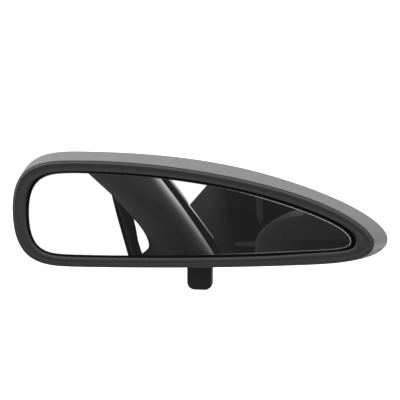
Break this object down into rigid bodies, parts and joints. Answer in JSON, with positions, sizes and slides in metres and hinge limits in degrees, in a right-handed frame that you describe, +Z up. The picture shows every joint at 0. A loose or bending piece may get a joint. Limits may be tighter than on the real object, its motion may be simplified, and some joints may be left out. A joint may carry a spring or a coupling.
{
  "type": "interior rear-view mirror",
  "caption": "Interior rear-view mirror with a teardrop head, a wedge glass, a day-night lever that tilts the head, and a ball joint on a foot for the windscreen.",
  "frame": {"origin": "centre of the windscreen button's bonding face", "axes": "+X to the right as the driver faces the glass, +Y forward along the car, away from the driver, +Z up"},
  "size_m": [0.2491, 0.1024, 0.0883],
  "materials": {
    "shell": "fine-grained satin grey moulding",
    "bezel": "soft-touch matte black moulding",
    "mirror": "silvered glass",
    "glass": "clear polished",
    "foam": "closed-cell foam",
    "rubber": "matte black",
    "inner_plastic": "moulded",
    "lever": "smooth matte black",
    "zinc": "as-cast grey",
    "steel": "plated",
    "nylon": "natural nylon",
    "stem_black": "black satin paint"
  },
  "bodies": {
    "windscreen_mount": {"windscreen_button": "steel", "mount_foot": "zinc", "set_screw": "steel", "foot_cover": "bezel", "stem": "stem_black", "stem_cross_pin": "steel", "ball_screw": "steel"},
    "ball": {"ball": "steel"},
    "liner": {"ball_liner": "nylon"},
    "socket": {"socket_carrier": "zinc", "socket_clamp": "steel", "clamp_screws": "steel"},
    "head": {"rear_shell": "shell", "rear_trim_ring": "bezel", "bezel_frame": "bezel", "mirror_glass": "glass", "mirror_silvering": "mirror", "glass_gasket": "rubber", "foam_pad": "foam", "backing_plate": "inner_plastic", "mech_frame": "zinc", "frame_screws": "steel", "hinge_pin": "steel", "lever_pin": "steel", "pin_clips": "steel", "detent_spring": "steel", "spring_rivets": "steel", "stop_bumpers": "rubber"},
    "lever": {"day_night_lever": "lever", "crank_pin": "steel"}
  },
  "joints": [
    {"name": "head_roll", "type": "hinge", "parent": "windscreen_mount", "child": "ball", "pos_m": [0, -0.046, -0.015], "axis": [0, 1, 0], "range_deg": [-12, 12]},
    {"name": "head_turn", "type": "hinge", "parent": "ball", "child": "liner", "pos_m": [0, -0.046, -0.015], "axis": [0, 0, 1], "range_deg": [-20, 20]},
    {"name": "head_nod", "type": "hinge", "parent": "liner", "child": "socket", "pos_m": [0, -0.046, -0.015], "axis": [1, 0, 0], "range_deg": [-15, 15]},
    {"name": "glare_tilt", "type": "hinge", "parent": "socket", "child": "head", "pos_m": [0, -0.058, 0.008], "axis": [-1, 0, 0], "range_deg": [0, 4.1]},
    {"name": "lever_flip", "type": "hinge", "parent": "head", "child": "lever", "pos_m": [0, -0.0635, -0.037], "axis": [-1, 0, 0], "range_deg": [0, 30]}
  ],
  "couplings": [
    {"joint": "glare_tilt", "follows": "lever_flip", "ratio": 0.1344}
  ]
}
